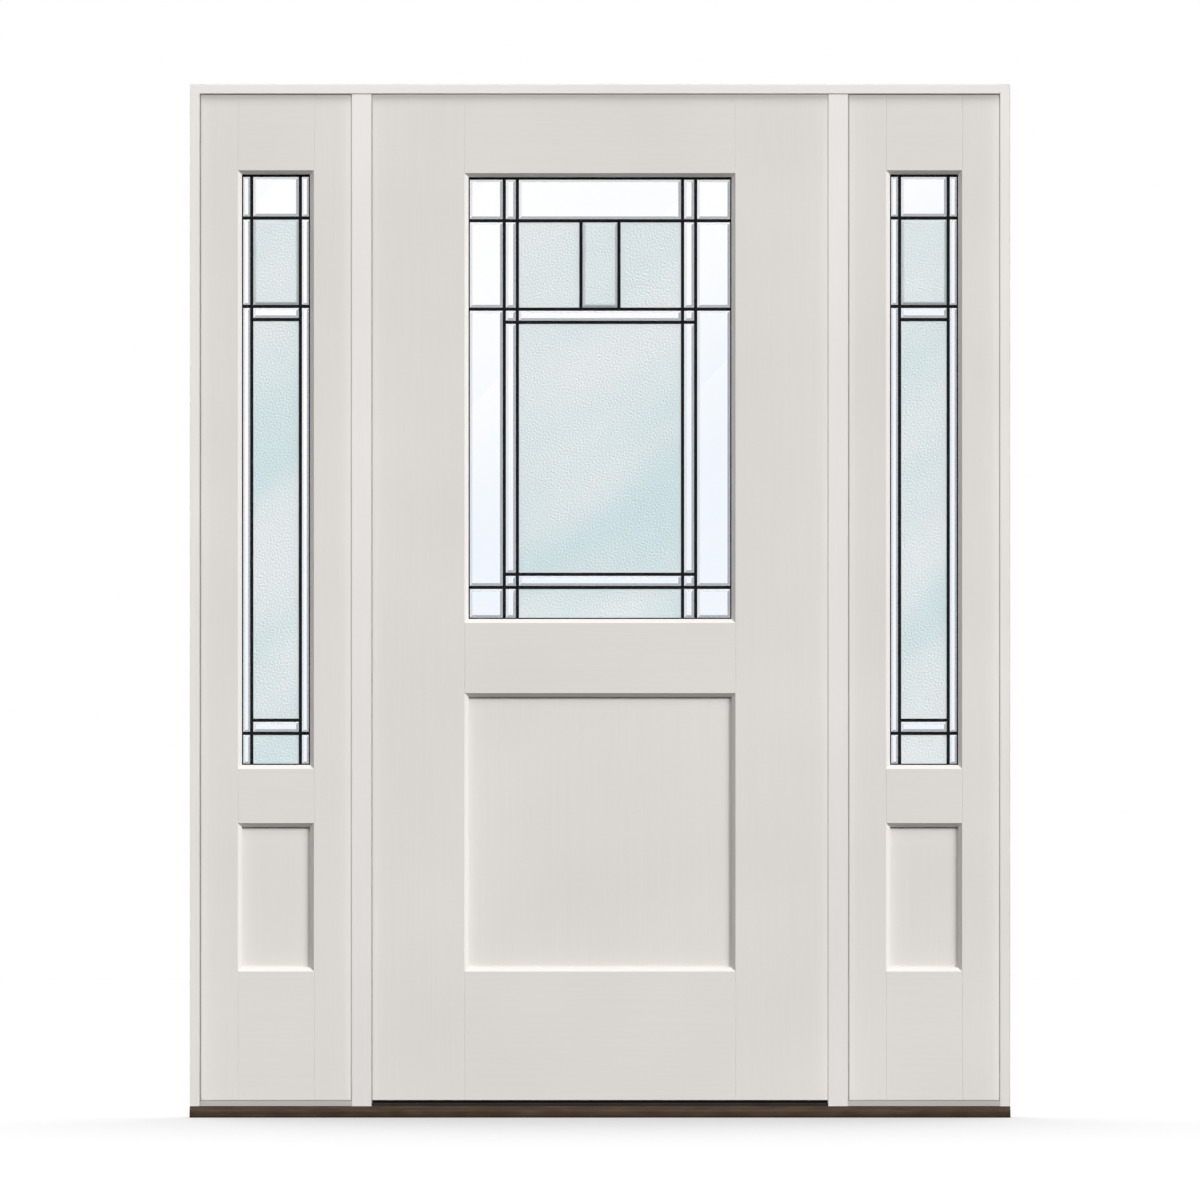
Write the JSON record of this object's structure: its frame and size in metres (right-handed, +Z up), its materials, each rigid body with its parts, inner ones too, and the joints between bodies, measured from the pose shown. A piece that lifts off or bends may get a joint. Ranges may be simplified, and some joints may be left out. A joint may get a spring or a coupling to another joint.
{
  "type": "entry door with sidelights",
  "caption": "Painted front entry door in one frame with a fixed sidelight on each side: leaded half glass over a flat recessed panel, slim frame and dark sill. The leaf swings inwards.",
  "frame": {"origin": "underside of the sill, at mid width and mid depth of the frame", "axes": "+X to the right seen from outside, +Y inwards through the doorway, +Z up"},
  "size_m": [1.64, 0.1029, 2.066],
  "materials": {
    "leaf_paint": "satin off-white paint on wood",
    "frame_paint": "satin off-white paint on wood",
    "sill_metal": "dark bronze anodised aluminium",
    "black_strip": "black threshold cap",
    "base_strip": "painted packer under the sidelight",
    "cover_glass": "clear float glass",
    "clear_glass": "clear bevelled glass",
    "textured_glass": "pebbled obscure glass",
    "came": "black came",
    "hinge_metal": "satin steel"
  },
  "bodies": {
    "frame": {"sill": "sill_metal", "threshold_cap": "black_strip", "left_jamb": "frame_paint", "right_jamb": "frame_paint", "head_jamb": "frame_paint", "left_mullion": "frame_paint", "right_mullion": "frame_paint", "left_sidelight_left_stile": "leaf_paint", "left_sidelight_right_stile": "leaf_paint", "left_sidelight_bottom_rail": "leaf_paint", "left_sidelight_middle_rail": "leaf_paint", "left_sidelight_top_rail": "leaf_paint", "left_sidelight_panel": "leaf_paint", "left_sidelight_cover_glass": "cover_glass", "left_sidelight_came": "came", "left_sidelight_clear_panes": "clear_glass", "left_sidelight_textured_panes": "textured_glass", "left_sidelight_base": "base_strip", "right_sidelight_left_stile": "leaf_paint", "right_sidelight_right_stile": "leaf_paint", "right_sidelight_bottom_rail": "leaf_paint", "right_sidelight_middle_rail": "leaf_paint", "right_sidelight_top_rail": "leaf_paint", "right_sidelight_panel": "leaf_paint", "right_sidelight_cover_glass": "cover_glass", "right_sidelight_came": "came", "right_sidelight_clear_panes": "clear_glass", "right_sidelight_textured_panes": "textured_glass", "right_sidelight_base": "base_strip", "hinge_frame_plates": "hinge_metal", "hinge_pins": "hinge_metal"},
    "door": {"door_hinge_stile": "leaf_paint", "door_lock_stile": "leaf_paint", "door_bottom_rail": "leaf_paint", "door_middle_rail": "leaf_paint", "door_top_rail": "leaf_paint", "door_panel": "leaf_paint", "door_cover_glass": "cover_glass", "door_came": "came", "door_clear_panes": "clear_glass", "door_textured_panes": "textured_glass", "hinge_door_plates": "hinge_metal"}
  },
  "joints": [
    {"name": "door_swing", "type": "hinge", "parent": "frame", "child": "door", "pos_m": [-0.46575, 0.03725, 1.04], "axis": [0, 0, 1], "range_deg": [0, 120]}
  ]
}
